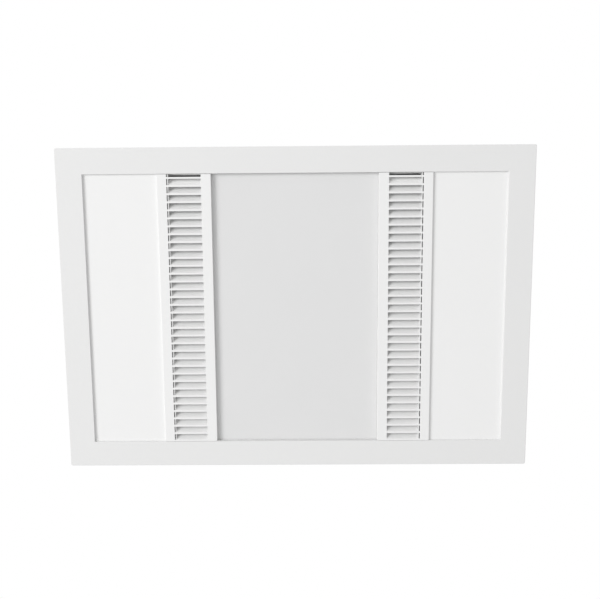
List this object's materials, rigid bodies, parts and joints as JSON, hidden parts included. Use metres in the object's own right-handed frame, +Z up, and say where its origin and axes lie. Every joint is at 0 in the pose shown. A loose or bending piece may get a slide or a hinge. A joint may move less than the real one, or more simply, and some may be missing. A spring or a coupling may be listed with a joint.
{
  "type": "ceiling heater",
  "caption": "Recessed bathroom ceiling unit: heater behind middle glass, side lights, louvred air intakes, exhaust fan with duct spigot and flaps.",
  "frame": {"origin": "middle of the four fixing holes, on the underside of the ceiling", "axes": "+Z up into the roof space, +X along the long side towards the duct spigot"},
  "size_m": [0.63, 0.435, 0.2664],
  "materials": {
    "white_moulding": "satin white moulding",
    "frosted_glass": "frosted toughened glass",
    "opal_acrylic": "opal acrylic",
    "silicone": "silicone rubber",
    "foam": "closed-cell foam",
    "zinc_screws": "bright zinc",
    "spring_steel": "spring steel",
    "galvanised_steel": "galvanised sheet",
    "heat_shield_steel": "aluminised sheet",
    "polished_aluminium": "polished reflector sheet",
    "quartz": "clear quartz",
    "coil_wire": "resistance wire",
    "end_cap_ceramic": "steatite",
    "black_plastic": "black moulding",
    "white_steel": "white enamel",
    "board": "white solder mask on aluminium",
    "led": "phosphor",
    "grey_plastic": "dark grey moulding",
    "impeller_plastic": "black moulding",
    "motor_shell": "dark grey enamel",
    "bronze": "bronze and brass",
    "lamination": "stacked steel sheets",
    "bright_steel": "ground steel",
    "box_plastic": "light grey moulding",
    "capacitor_case": "light grey case",
    "zinc_casting": "zinc casting",
    "lead_jacket": "heat-proof sleeve"
  },
  "bodies": {
    "housing_body": {"housing": "galvanised_steel", "foam_seal": "foam", "spring_clips": "spring_steel", "clamp_screws": "zinc_screws", "clamp_brackets": "galvanised_steel", "heat_shield": "heat_shield_steel", "reflector": "polished_aluminium", "heater_tubes": "quartz", "heater_coils": "coil_wire", "tube_end_caps": "end_cap_ceramic", "tube_brackets": "galvanised_steel", "thermal_cutout": "black_plastic", "led_tray_left": "white_steel", "led_tray_right": "white_steel", "led_boards": "board", "led_chips": "led", "fan_casing": "grey_plastic", "fan_lid": "grey_plastic", "inlet_ring": "grey_plastic", "motor_body": "motor_shell", "motor_cap": "motor_shell", "motor_bearings": "bronze", "motor_stator": "lamination", "motor_grommets": "silicone", "motor_screws": "zinc_screws", "outlet_spigot": "grey_plastic", "flap_pin": "bright_steel", "flap_spring": "spring_steel", "terminal_box": "box_plastic", "cover_pin": "bright_steel", "terminal_block": "box_plastic", "terminal_screws": "bronze", "cable_gland": "black_plastic", "roof_grommet": "silicone", "led_driver": "box_plastic", "fan_capacitor": "capacitor_case", "capacitor_strap": "galvanised_steel", "assembly_screws": "zinc_screws", "wire_leads": "lead_jacket"},
    "rotor": {"impeller": "impeller_plastic", "impeller_vanes": "impeller_plastic", "impeller_rim": "impeller_plastic", "motor_shaft": "bright_steel", "motor_rotor": "lamination"},
    "fascia": {"fascia_frame": "white_moulding", "louvre_left": "white_moulding", "louvre_right": "white_moulding", "heater_glass": "frosted_glass", "glass_gasket": "silicone", "diffuser_left": "opal_acrylic", "diffuser_right": "opal_acrylic", "panel_clips": "spring_steel", "panel_screws": "zinc_screws"},
    "flap_left": {"flap_left": "grey_plastic"},
    "flap_right": {"flap_right": "grey_plastic"},
    "terminal_cover": {"terminal_cover": "box_plastic"},
    "clamp_arm_rear_left": {"clamp_arm_rear_left": "zinc_casting"},
    "clamp_arm_front_left": {"clamp_arm_front_left": "zinc_casting"},
    "clamp_arm_rear_right": {"clamp_arm_rear_right": "zinc_casting"},
    "clamp_arm_front_right": {"clamp_arm_front_right": "zinc_casting"}
  },
  "joints": [
    {"name": "fan_spin", "type": "hinge", "parent": "housing_body", "child": "rotor", "pos_m": [0, 0, 0.16], "axis": [0, 0, -1], "continuous": true},
    {"name": "fascia_drop", "type": "slide", "parent": "housing_body", "child": "fascia", "axis": [0, 0, -1], "range_m": [0, 0.03]},
    {"name": "flap_left_swing", "type": "hinge", "parent": "housing_body", "child": "flap_left", "pos_m": [0.232, 0.084, 0.164], "axis": [0, 0, -1], "range_deg": [0, 80], "stiffness_Nm_per_rad": 0.004},
    {"name": "flap_right_swing", "type": "hinge", "parent": "housing_body", "child": "flap_right", "pos_m": [0.232, 0.084, 0.164], "axis": [0, 0, 1], "range_deg": [0, 80], "stiffness_Nm_per_rad": 0.004},
    {"name": "cover_hinge", "type": "hinge", "parent": "housing_body", "child": "terminal_cover", "pos_m": [-0.2753, 0, 0.146], "axis": [0, -1, 0], "range_deg": [0, 110]},
    {"name": "clamp_swing_rear_left", "type": "hinge", "parent": "housing_body", "child": "clamp_arm_rear_left", "pos_m": [-0.2913, 0.12, 0.025], "axis": [0, 0, -1], "range_deg": [0, 90]},
    {"name": "clamp_swing_front_left", "type": "hinge", "parent": "housing_body", "child": "clamp_arm_front_left", "pos_m": [-0.2913, -0.12, 0.025], "axis": [0, 0, 1], "range_deg": [0, 90]},
    {"name": "clamp_swing_rear_right", "type": "hinge", "parent": "housing_body", "child": "clamp_arm_rear_right", "pos_m": [0.2913, 0.12, 0.025], "axis": [0, 0, 1], "range_deg": [0, 90]},
    {"name": "clamp_swing_front_right", "type": "hinge", "parent": "housing_body", "child": "clamp_arm_front_right", "pos_m": [0.2913, -0.12, 0.025], "axis": [0, 0, -1], "range_deg": [0, 90]}
  ]
}
